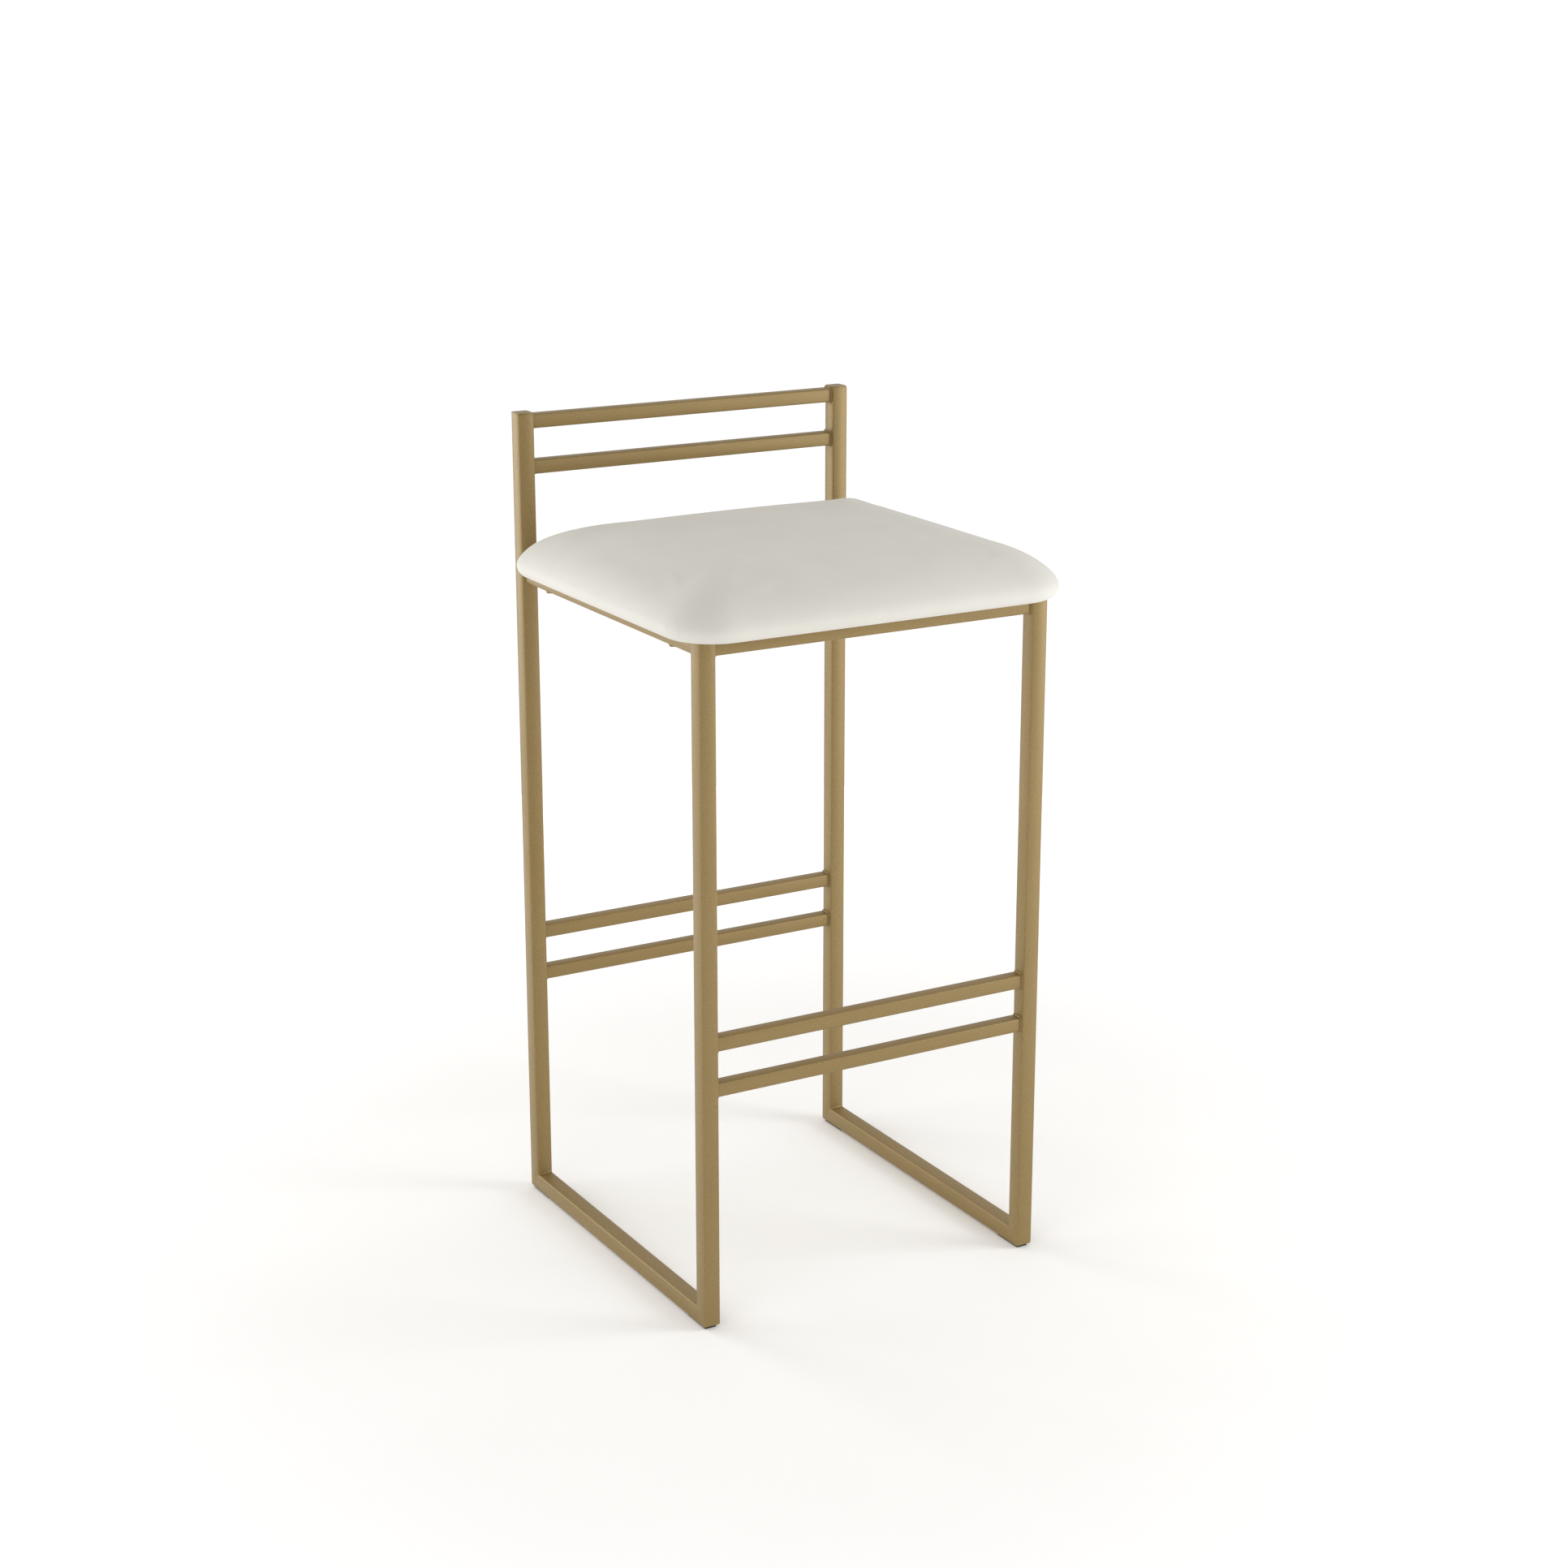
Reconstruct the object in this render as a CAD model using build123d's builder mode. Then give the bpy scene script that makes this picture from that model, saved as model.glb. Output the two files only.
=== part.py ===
from build123d import *
import os

# A low-back bar stool: two welded side frames of square tube, joined by smaller
# square bars, with a padded vinyl seat screwed down on four seat rails.
# +X is the sitter's left-to-right as seen from the front, +Y points to the back,
# +Z is up. The origin is on the floor, under the middle of the outline.

# ---------------------------------------------------------------- frame, driving sizes
frame_width = 422.5  # outside of one side frame to outside of the other
frame_depth = 435.0  # front of the front legs to back of the rear posts
post_height = 928.0  # floor to the top of the rear posts' caps
seat_rail_top = 754.5  # floor to the top of the seat rails and front legs
stretcher_top = 330.0  # floor to the top of the upper footrest bar and stretcher
bar_pitch = 51.0  # upper bar to lower bar, in all three pairs
back_bar_drop = 2.5  # top of the posts down to the top of the upper back bar

tube = 19.05  # posts, legs and floor rails
tube_wall = 1.5
tube_corner = 2.3
bar = 15.9  # cross bars and seat rails
bar_wall = 1.2
bar_corner = 2.0
smallest_corner = 0.2  # inside corner left where a wall is as thick as its bend
bend_round = 3.5  # outside round of the side frames' bottom corners
cap_thickness = 1.5

weld_width = 1.8  # how far a bead spreads over the leg
weld_height = 1.5  # how far it climbs along the bar
weld_toe = 0.3  # its thickness where it ends on the bar

# ---------------------------------------------------------------- glides
glide_length = 40.0
glide_width = 14.5
glide_thickness = 2.5
glide_inset = 4.0  # end of the frame to the end of the glide
glide_round = 2.0
glide_edge = 0.5
stud_pitch = 22.0
stud_radius = 2.5
stud_clearance = 0.1
barb_spread = 0.5  # how much wider than the stud its barb is
barb_height = 2.5
barb_gap = 0.2  # inside face of the wall to the barb

# ---------------------------------------------------------------- seat
seat_overhang = 24.8  # past the legs, at the front and both sides
seat_back_gap = 15.6  # back of the seat to the front of the rear posts
seat_height = 66.5  # hem to crown
seat_front_round = 55.0  # corners of the widest outline, front and back
seat_back_round = 30.0
front_fold = 20.0  # radius that the corners tighten to, towards the crown
back_fold = 6.0
# Stations of the cushion's skin: how far in from the widest outline, and how high
# above the hem, from the hem up to the crown.
skin_stations = (
    (8.0, 0.0),
    (1.5, 5.5),
    (0.0, 13.0),
    (4.5, 21.0),
    (18.0, 33.5),
    (44.0, 49.5),
    (88.0, 61.5),
    (150.0, 66.5),
)
cover_thickness = 1.0
soft_gap = 0.3  # foam to cover and foam to board
hem_width = 25.0
board_thickness = 12.0
board_inset = 14.0  # widest outline of the seat to the board's edge

screw_from_leg = 56.5  # back of the front leg to the front screw
screw_from_post = 50.0  # front of the rear post to the rear screw
screw_radius = 2.5
screw_clearance = 0.3
screw_tip_gap = 1.5  # screw's tip to the top of the board
head_radius = 4.9
head_height = 2.4
head_round = 1.2
recess_length = 4.6
recess_width = 1.0
recess_depth = 1.2
washer_thickness = 0.8
washer_radius = 4.5
washer_split = 0.8
nut_barrel_radius = 3.4
nut_flange_radius = 8.5
nut_flange_thickness = 1.2
nut_height = 10.0
nut_clearance = 0.1
nut_thread_clearance = 0.05

staple_inset = 20.0  # widest outline of the seat to the line of staples
staple_crown = 10.0
staple_leg = 8.0
staple_wire = 0.7
staple_clearance = 0.05
staples_front = 6
staples_side = 5
staple_margin = 75.0  # corner of the outline to the first staple

# ---------------------------------------------------------------- places worked out
ground = glide_thickness
half_width = frame_width / 2
overall_depth = frame_depth + seat_overhang
leg_front = -overall_depth / 2 + seat_overhang
leg_back = leg_front + tube
leg_y = leg_front + tube / 2
post_back = overall_depth / 2
post_front = post_back - tube
post_y = post_back - tube / 2
inner_x = half_width - tube
side_x = half_width - tube / 2
bar_length = 2 * inner_x
front_bar_y = leg_back - bar / 2
rear_bar_y = post_back - bar / 2
seat_rail_x = inner_x + bar / 2
seat_rail_z = seat_rail_top - bar / 2
seat_rail_bottom = seat_rail_top - bar
seat_rail_length = post_front - leg_back
upper_stretcher_z = stretcher_top - bar / 2
upper_back_z = post_height - back_bar_drop - bar / 2

seat_width = frame_width + 2 * seat_overhang
seat_front = leg_front - seat_overhang
seat_back = post_front - seat_back_gap
seat_depth = seat_back - seat_front
seat_y = (seat_front + seat_back) / 2
board_bottom = seat_rail_top + cover_thickness
board_top = board_bottom + board_thickness
head_top = seat_rail_bottom - washer_thickness
screw_tip = board_top - screw_tip_gap
screw_rows = (leg_back + screw_from_leg, post_front - screw_from_post)
screw_spots = [(x, y) for x in (-seat_rail_x, seat_rail_x) for y in screw_rows]
sides = {"left": -1, "right": 1}

os.makedirs("parts", exist_ok=True)


# ---------------------------------------------------------------- shared shapes
def tube_profile(size, wall, corner):
    """Draw a square tube's section in the sketch that is open."""
    RectangleRounded(size, size, corner)
    inside = size - 2 * wall
    RectangleRounded(inside, inside, max(corner - wall, smallest_corner), mode=Mode.SUBTRACT)


def along_x(x, y, z):
    """A plane whose normal runs to the right."""
    return Plane(origin=(x, y, z), x_dir=(0, 1, 0), z_dir=(1, 0, 0))


def along_y(x, y, z):
    """A plane whose normal runs to the back."""
    return Plane(origin=(x, y, z), x_dir=(1, 0, 0), z_dir=(0, 1, 0))


def corner_waste(end, inward):
    """Draw what the round of a bottom corner removes; inward is the way into the frame."""
    with Locations((end + inward * bend_round / 2, ground + bend_round / 2)):
        Rectangle(bend_round, bend_round)
    with Locations((end + inward * bend_round, ground + bend_round)):
        Circle(bend_round, mode=Mode.SUBTRACT)


def tightened(widest, fold, inset):
    """A seat corner's radius, drawn in by inset: never less than that of its fold."""
    return max(widest - inset, fold)


def seat_outline(inset, level):
    """The seat's outline, drawn in by inset, as a sketch at the height level."""
    with BuildSketch(Plane.XY.offset(level)) as outline:
        with Locations((0, seat_y)):
            Rectangle(seat_width - 2 * inset, seat_depth - 2 * inset)
        front_corners = outline.vertices().group_by(Axis.Y)[0]
        back_corners = outline.vertices().group_by(Axis.Y)[-1]
        fillet(front_corners, tightened(seat_front_round, front_fold, inset))
        fillet(back_corners, tightened(seat_back_round, back_fold, inset))
    return outline.sketch


def skin_level(rise, shrink):
    """Height of a station of the skin, or of a skin that lies shrink inside it."""
    return seat_rail_top + shrink + rise * (seat_height - 2 * shrink) / seat_height


# ---------------------------------------------------------------- side frames
rear_mitre = Plane(origin=(0, post_back, ground), z_dir=(0, 1, 1))
front_mitre = Plane(origin=(0, leg_front, ground), z_dir=(0, -1, 1))
rail_ends = {"front": (leg_front, 1), "rear": (post_back, -1)}  # place and the way inward
glide_centres = {
    end_name: end + inward * (glide_inset + glide_length / 2)
    for end_name, (end, inward) in rail_ends.items()
}
stud_spots = [
    centre + offset for centre in glide_centres.values() for offset in (-stud_pitch / 2, stud_pitch / 2)
]

for side_name, side in sides.items():
    with BuildPart() as rear_post:
        with BuildSketch(Plane.XY.offset(ground)):
            with Locations((side * side_x, post_y)):
                tube_profile(tube, tube_wall, tube_corner)
        extrude(amount=post_height - cap_thickness - ground)
        split(bisect_by=rear_mitre, keep=Keep.TOP)
        with BuildSketch(along_x(side * side_x, 0, 0)):
            corner_waste(*rail_ends["rear"])
        extrude(amount=tube, both=True, mode=Mode.SUBTRACT)
    rear_post.part.label = f"{side_name}_rear_post"
    export_step(rear_post.part, f"parts/{side_name}_rear_post.step")

    with BuildPart() as front_leg:
        with BuildSketch(Plane.XY.offset(ground)):
            with Locations((side * side_x, leg_y)):
                tube_profile(tube, tube_wall, tube_corner)
        extrude(amount=seat_rail_top - ground)
        split(bisect_by=front_mitre, keep=Keep.TOP)
        with BuildSketch(along_x(side * side_x, 0, 0)):
            corner_waste(*rail_ends["front"])
        extrude(amount=tube, both=True, mode=Mode.SUBTRACT)
    front_leg.part.label = f"{side_name}_front_leg"
    export_step(front_leg.part, f"parts/{side_name}_front_leg.step")

    with BuildPart() as floor_rail:
        with BuildSketch(along_y(side * side_x, leg_front, ground + tube / 2)):
            tube_profile(tube, tube_wall, tube_corner)
        extrude(amount=frame_depth)
        split(bisect_by=rear_mitre, keep=Keep.BOTTOM)
        split(bisect_by=front_mitre, keep=Keep.BOTTOM)
        with BuildSketch(along_x(side * side_x, 0, 0)):
            for end, inward in rail_ends.values():
                corner_waste(end, inward)
        extrude(amount=tube, both=True, mode=Mode.SUBTRACT)
        with BuildSketch(Plane.XY.offset(ground)):
            with Locations(*[(side * side_x, y) for y in stud_spots]):
                Circle(stud_radius + stud_clearance)
        extrude(amount=tube_wall, mode=Mode.SUBTRACT)
    floor_rail.part.label = f"{side_name}_floor_rail"
    export_step(floor_rail.part, f"parts/{side_name}_floor_rail.step")

    with BuildPart() as post_cap:
        with BuildSketch(Plane.XY.offset(post_height - cap_thickness)):
            with Locations((side * side_x, post_y)):
                RectangleRounded(tube, tube, tube_corner)
        extrude(amount=cap_thickness)
    post_cap.part.label = f"{side_name}_post_cap"
    export_step(post_cap.part, f"parts/{side_name}_post_cap.step")

    with BuildPart() as seat_rail:
        with BuildSketch(along_y(side * seat_rail_x, leg_back, seat_rail_z)):
            tube_profile(bar, bar_wall, bar_corner)
        extrude(amount=seat_rail_length)
        with BuildSketch(Plane.XY.offset(seat_rail_bottom)):
            with Locations(*[spot for spot in screw_spots if spot[0] * side > 0]):
                Circle(screw_radius + screw_clearance)
        extrude(amount=bar, mode=Mode.SUBTRACT)
    seat_rail.part.label = f"{side_name}_seat_rail"
    export_step(seat_rail.part, f"parts/{side_name}_seat_rail.step")

# ---------------------------------------------------------------- cross bars
# The bars lie flush with the backs of the legs and posts that they join.
cross_bars = {
    "upper_back_bar": (rear_bar_y, upper_back_z),
    "lower_back_bar": (rear_bar_y, upper_back_z - bar_pitch),
    "upper_rear_stretcher": (rear_bar_y, upper_stretcher_z),
    "lower_rear_stretcher": (rear_bar_y, upper_stretcher_z - bar_pitch),
    "upper_footrest_bar": (front_bar_y, upper_stretcher_z),
    "lower_footrest_bar": (front_bar_y, upper_stretcher_z - bar_pitch),
    "front_seat_rail": (front_bar_y, seat_rail_z),
    "rear_seat_rail": (rear_bar_y, seat_rail_z),
}
for bar_name, (bar_y, bar_z) in cross_bars.items():
    with BuildPart() as cross_bar:
        with BuildSketch(along_x(-inner_x, bar_y, bar_z)):
            tube_profile(bar, bar_wall, bar_corner)
        extrude(amount=bar_length)
    cross_bar.part.label = bar_name
    export_step(cross_bar.part, f"parts/{bar_name}.step")


# ---------------------------------------------------------------- weld beads
def weld_bead(root):
    """Add one bead round three sides of a bar's end to the part that is open.

    root stands on the leg at the bar's axis: its normal runs along the bar, and its x
    points away from the side where bar and leg are flush, which has no bead.
    """
    wide = bar + 2 * weld_width
    narrow = bar + 2 * weld_toe
    with BuildSketch(root) as foot:
        RectangleRounded(wide, wide, bar_corner + weld_width)
    with BuildSketch(root.offset(weld_height)) as toe:
        RectangleRounded(narrow, narrow, bar_corner + weld_toe)
    loft(sections=[foot.sketch, toe.sketch])
    with BuildSketch(root) as waste:
        RectangleRounded(bar, bar, bar_corner)
        with Locations((-wide / 2, 0)):
            Rectangle(2 * (weld_width + tube_corner), wide)
    extrude(waste.sketch, amount=weld_height, mode=Mode.SUBTRACT)


def cross_root(end, y, z):
    """Where a cross bar meets its leg or post; end is -1 at the left and 1 at the right."""
    return Plane(origin=(end * inner_x, y, z), x_dir=(0, -1, 0), z_dir=(-end, 0, 0))


bead_groups = {
    "back_bar_welds": ("upper_back_bar", "lower_back_bar"),
    "stretcher_welds": ("upper_rear_stretcher", "lower_rear_stretcher"),
    "footrest_welds": ("upper_footrest_bar", "lower_footrest_bar"),
}
for group_name, bar_names in bead_groups.items():
    with BuildPart() as beads:
        for bar_name in bar_names:
            for end in sides.values():
                weld_bead(cross_root(end, *cross_bars[bar_name]))
    beads.part.label = group_name
    export_step(beads.part, f"parts/{group_name}.step")

# The seat lies on the rails, so their beads stop below the rails' tops.
with BuildPart() as rail_beads:
    for rail_name in ("front_seat_rail", "rear_seat_rail"):
        for end in sides.values():
            weld_bead(cross_root(end, *cross_bars[rail_name]))
    for side in sides.values():
        for joint_y, inward in ((leg_back, 1), (post_front, -1)):
            joint = (side * seat_rail_x, joint_y, seat_rail_z)
            weld_bead(Plane(origin=joint, x_dir=(side, 0, 0), z_dir=(0, inward, 0)))
    with BuildSketch(Plane.XY.offset(seat_rail_top - bar_corner)):
        Rectangle(2 * frame_width, 2 * frame_depth)
    extrude(amount=bar, mode=Mode.SUBTRACT)
rail_beads.part.label = "seat_rail_welds"
export_step(rail_beads.part, "parts/seat_rail_welds.step")

# ---------------------------------------------------------------- glides
# Each glide snaps in with two barbed studs through the floor rail's underside.
barb_bottom = ground + tube_wall + barb_gap
for side_name, side in sides.items():
    for end_name, glide_y in glide_centres.items():
        with BuildPart() as glide:
            with BuildSketch(Plane.XY):
                with Locations((side * side_x, glide_y)):
                    RectangleRounded(glide_width, glide_length, glide_round)
            extrude(amount=glide_thickness)
            chamfer(glide.edges().group_by(Axis.Z)[0], glide_edge)
            with Locations((side * side_x, glide_y, ground)):
                with GridLocations(0, stud_pitch, 1, 2):
                    Cylinder(stud_radius, tube_wall + barb_gap, align=(Align.CENTER, Align.CENTER, Align.MIN))
            with Locations((side * side_x, glide_y, barb_bottom)):
                with GridLocations(0, stud_pitch, 1, 2):
                    Cone(
                        stud_radius + barb_spread,
                        stud_radius - barb_spread,
                        barb_height,
                        align=(Align.CENTER, Align.CENTER, Align.MIN),
                    )
        glide.part.label = f"{side_name}_{end_name}_glide"
        export_step(glide.part, f"parts/{side_name}_{end_name}_glide.step")

# ---------------------------------------------------------------- staples' places
front_line = seat_front + staple_inset
back_line = seat_back - staple_inset
side_line = seat_width / 2 - staple_inset


def spread(low, high, count):
    """Evenly spaced places from low to high, both ends included."""
    return [low + (high - low) * step / (count - 1) for step in range(count)]


across = spread(-seat_width / 2 + staple_margin, seat_width / 2 - staple_margin, staples_front)
along = spread(seat_front + staple_margin, seat_back - staple_margin, staples_side)
staple_spots = [(x, y, 0) for y in (front_line, back_line) for x in across]
staple_spots += [(x, y, 90) for x in (-side_line, side_line) for y in along]
staple_hole = staple_wire + 2 * staple_clearance


def staple_holes():
    """Draw the holes of all the staples' legs in the sketch that is open."""
    for x, y, turn in staple_spots:
        with Locations(Location((x, y, 0), (0, 0, turn))):
            with GridLocations(staple_crown - staple_wire, 0, 2, 1):
                Rectangle(staple_hole, staple_hole)


# ---------------------------------------------------------------- seat
with BuildPart() as seat_board:
    extrude(seat_outline(board_inset, board_bottom), amount=board_thickness)
    with BuildSketch(Plane.XY.offset(board_bottom)):
        with Locations(*screw_spots):
            Circle(nut_barrel_radius + nut_clearance)
    extrude(amount=board_thickness, mode=Mode.SUBTRACT)
    with BuildSketch(Plane.XY.offset(board_top - nut_flange_thickness)):
        with Locations(*screw_spots):
            Circle(nut_flange_radius + nut_clearance)
    extrude(amount=nut_flange_thickness, mode=Mode.SUBTRACT)
    with BuildSketch(Plane.XY.offset(board_bottom)):
        staple_holes()
    extrude(amount=staple_leg, mode=Mode.SUBTRACT)
seat_board.part.label = "seat_board"
export_step(seat_board.part, "parts/seat_board.step")


def skin_sections(shrink):
    """The outlines that a skin lying shrink inside the seat's surface passes through."""
    return [seat_outline(inset + shrink, skin_level(rise, shrink)) for inset, rise in skin_stations]


with BuildPart() as seat_foam:
    loft(sections=skin_sections(cover_thickness + soft_gap), ruled=True)
    board_room = cover_thickness + board_thickness + soft_gap
    extrude(seat_outline(board_inset - soft_gap, seat_rail_top), amount=board_room, mode=Mode.SUBTRACT)
seat_foam.part.label = "seat_foam"
export_step(seat_foam.part, "parts/seat_foam.step")

hem_edge = skin_stations[0][0] + hem_width
with BuildPart() as seat_cover:
    loft(sections=skin_sections(0), ruled=True)
    loft(sections=skin_sections(cover_thickness), ruled=True, mode=Mode.SUBTRACT)
    extrude(seat_outline(hem_edge, seat_rail_top), amount=cover_thickness, mode=Mode.SUBTRACT)
    with BuildSketch(Plane.XY.offset(seat_rail_top)):
        staple_holes()
        with Locations(*screw_spots):
            Circle(screw_radius + screw_clearance)
    extrude(amount=cover_thickness, mode=Mode.SUBTRACT)
seat_cover.part.label = "seat_cover"
export_step(seat_cover.part, "parts/seat_cover.step")

# ---------------------------------------------------------------- fasteners
with BuildPart() as seat_screws:
    for x, y in screw_spots:
        with BuildSketch(Plane.XY.offset(head_top)):
            with Locations((x, y)):
                Circle(head_radius)
        extrude(amount=-head_height)
        with BuildSketch(Plane.XY.offset(head_top)):
            with Locations((x, y)):
                Circle(screw_radius)
        extrude(amount=screw_tip - head_top)
    fillet(seat_screws.edges().filter_by(GeomType.CIRCLE).group_by(Axis.Z)[0], head_round)
    with BuildSketch(Plane.XY.offset(head_top - head_height)):
        with Locations(*screw_spots):
            Rectangle(recess_length, recess_width)
            Rectangle(recess_width, recess_length)
    extrude(amount=recess_depth, mode=Mode.SUBTRACT)
seat_screws.part.label = "seat_screws"
export_step(seat_screws.part, "parts/seat_screws.step")

with BuildPart() as lock_washers:
    with BuildSketch(Plane.XY.offset(head_top)):
        with Locations(*screw_spots):
            Circle(washer_radius)
            Circle(screw_radius + screw_clearance, mode=Mode.SUBTRACT)
        with Locations(*[(x, y - washer_radius) for x, y in screw_spots]):
            Rectangle(washer_split, 2 * washer_radius, mode=Mode.SUBTRACT)
    extrude(amount=washer_thickness)
lock_washers.part.label = "lock_washers"
export_step(lock_washers.part, "parts/lock_washers.step")

with BuildPart() as tee_nuts:
    with BuildSketch(Plane.XY.offset(board_top - nut_height)):
        with Locations(*screw_spots):
            Circle(nut_barrel_radius)
    extrude(amount=nut_height)
    with BuildSketch(Plane.XY.offset(board_top - nut_flange_thickness)):
        with Locations(*screw_spots):
            Circle(nut_flange_radius)
    extrude(amount=nut_flange_thickness)
    with BuildSketch(Plane.XY.offset(board_bottom)):
        with Locations(*screw_spots):
            Circle(screw_radius + nut_thread_clearance)
    extrude(amount=board_thickness, mode=Mode.SUBTRACT)
tee_nuts.part.label = "tee_nuts"
export_step(tee_nuts.part, "parts/tee_nuts.step")

with BuildPart() as cover_staples:
    for x, y, turn in staple_spots:
        with BuildSketch(Plane.XY.offset(seat_rail_top)):
            with Locations(Location((x, y, 0), (0, 0, turn))):
                Rectangle(staple_crown, staple_wire)
        extrude(amount=-staple_wire)
        with BuildSketch(Plane.XY.offset(seat_rail_top)):
            with Locations(Location((x, y, 0), (0, 0, turn))):
                with GridLocations(staple_crown - staple_wire, 0, 2, 1):
                    Rectangle(staple_wire, staple_wire)
        extrude(amount=staple_leg)
cover_staples.part.label = "cover_staples"
export_step(cover_staples.part, "parts/cover_staples.step")
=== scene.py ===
"""Looks of a low-back bar stool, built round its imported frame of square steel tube.

Two welded side frames are joined by pairs of smaller square bars, all under one textured
champagne powder coat. A padded seat in off-white vinyl is screwed down on four seat rails.
Every length is in metres; +Z is up, +Y points to the back of the stool.
"""

import logging
import math
from collections.abc import Iterable
from dataclasses import dataclass
from enum import Enum
from typing import Any

import bmesh
import bpy
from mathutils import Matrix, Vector, noise


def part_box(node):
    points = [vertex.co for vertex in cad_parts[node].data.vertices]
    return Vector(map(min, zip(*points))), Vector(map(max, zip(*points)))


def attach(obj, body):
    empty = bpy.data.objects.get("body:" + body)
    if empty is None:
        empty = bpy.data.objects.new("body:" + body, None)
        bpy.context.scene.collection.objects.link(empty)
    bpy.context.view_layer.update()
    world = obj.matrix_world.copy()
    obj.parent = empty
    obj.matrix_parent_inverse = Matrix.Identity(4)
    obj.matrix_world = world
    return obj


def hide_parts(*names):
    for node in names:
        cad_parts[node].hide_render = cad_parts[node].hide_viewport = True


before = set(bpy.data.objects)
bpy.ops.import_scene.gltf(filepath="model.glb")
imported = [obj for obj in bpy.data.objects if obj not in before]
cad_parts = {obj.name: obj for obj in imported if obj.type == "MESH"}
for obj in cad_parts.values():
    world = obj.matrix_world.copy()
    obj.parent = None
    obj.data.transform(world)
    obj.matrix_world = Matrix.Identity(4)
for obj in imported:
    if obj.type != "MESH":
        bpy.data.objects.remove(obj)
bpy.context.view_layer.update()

MM = 0.001
BODY = "root"
PARALLEL = 0.999  # least cosine that counts as the same direction
SAME = 0.01 * MM  # lengths and heights that differ by less are the same
log = logging.getLogger("stool")


class Side(Enum):
    """The two side frames, with the sign of their place along X."""

    LEFT = -1
    RIGHT = 1

    @property
    def word(self) -> str:
        """The side's name as it stands in the names of pieces."""
        return self.name.lower()


class Slot(Enum):
    """The record's material slots."""

    FRAME = "frame_paint"
    GLIDE = "glide_plastic"
    VINYL = "seat_vinyl"
    PLYWOOD = "plywood"
    ZINC = "zinc_steel"
    STAPLE = "staple_steel"


# ---------------------------------------------------------------- small helpers
def linear(code: int) -> tuple[float, float, float, float]:
    """Turn a colour from sRGB to linear light.

    Args:
        code: The colour as a hexadecimal number, such as 0xC8B48A.

    Returns:
        Red, green, blue and an alpha of 1.
    """
    parts = [((code >> shift) & 0xFF) / 255 for shift in (16, 8, 0)]
    light = [p / 12.92 if p <= 0.04045 else ((p + 0.055) / 1.055) ** 2.4 for p in parts]
    return (*light, 1.0)


def add_node(
    tree: bpy.types.NodeTree, kind: str, inputs: dict[Any, Any] | None = None, **settings: Any
) -> bpy.types.Node:
    """Add a node, with its settings and what its sockets hold.

    Args:
        tree: The node tree that it joins.
        kind: The node's type, such as "ShaderNodeBump".
        inputs: For each input, by name or number, a socket to link from or a value.
        settings: The node's own properties.

    Returns:
        The new node.
    """
    node = tree.nodes.new(kind)
    for key, value in settings.items():
        setattr(node, key, value)
    for key, value in (inputs or {}).items():
        if isinstance(value, bpy.types.NodeSocket):
            tree.links.new(value, node.inputs[key])
        else:
            node.inputs[key].default_value = value
    return node


def new_material(name: str) -> tuple[bpy.types.Material, bpy.types.NodeTree, bpy.types.Node]:
    """Start a material with nothing in it but its output.

    Args:
        name: The material's name.

    Returns:
        The material, its node tree and its output node.
    """
    made = bpy.data.materials.new(name)
    made.use_nodes = True
    made.node_tree.nodes.clear()
    return made, made.node_tree, add_node(made.node_tree, "ShaderNodeOutputMaterial")


def ramp(
    tree: bpy.types.NodeTree, source: bpy.types.NodeSocket, stops: Iterable[tuple[float, int]]
) -> bpy.types.NodeSocket:
    """Colour a pattern with a ramp.

    Args:
        tree: The node tree that the ramp joins.
        source: The pattern, from 0 to 1.
        stops: Each stop's place and its sRGB colour, two or more.

    Returns:
        The ramp's colour.
    """
    node = add_node(tree, "ShaderNodeValToRGB", {"Fac": source})
    elements = node.color_ramp.elements
    for index, (place, code) in enumerate(stops):
        stop = elements[index] if index < 2 else elements.new(place)
        stop.position = place
        stop.color = linear(code)
    return node.outputs["Color"]


def spread_value(
    tree: bpy.types.NodeTree, source: bpy.types.NodeSocket, low: float, high: float
) -> bpy.types.NodeSocket:
    """Spread a pattern from 0 to 1 over the range from low to high.

    Args:
        tree: The node tree.
        source: The pattern.
        low: What 0 becomes.
        high: What 1 becomes.

    Returns:
        The spread value.
    """
    node = add_node(tree, "ShaderNodeMapRange", {0: source, 3: low, 4: high})
    return node.outputs[0]


def put_up(name: str, mesh: bmesh.types.BMesh, smooth: bool = True) -> bpy.types.Object:
    """Turn a bmesh into an object at the origin and free the bmesh.

    Args:
        name: The object's name, which its mesh shares.
        mesh: The finished bmesh, with its place in its vertices.
        smooth: Whether its faces are shaded smooth.

    Returns:
        The new object, in the scene.
    """
    for face in mesh.faces:
        face.smooth = smooth
    data = bpy.data.meshes.new(name)
    mesh.to_mesh(data)
    mesh.free()
    piece = bpy.data.objects.new(name, data)
    bpy.context.scene.collection.objects.link(piece)
    return piece


def hand_over(
    piece: bpy.types.Object, finish: bpy.types.Material, nodes: Iterable[str]
) -> None:
    """Give a piece its finish, its body and the nodes that it stands for.

    Args:
        piece: The finished piece.
        finish: Its material.
        nodes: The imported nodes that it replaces.
    """
    piece.data.materials.clear()
    piece.data.materials.append(finish)
    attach(piece, BODY)
    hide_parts(*nodes)
    log.info("%s: %d faces", piece.name, len(piece.data.polygons))


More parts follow.
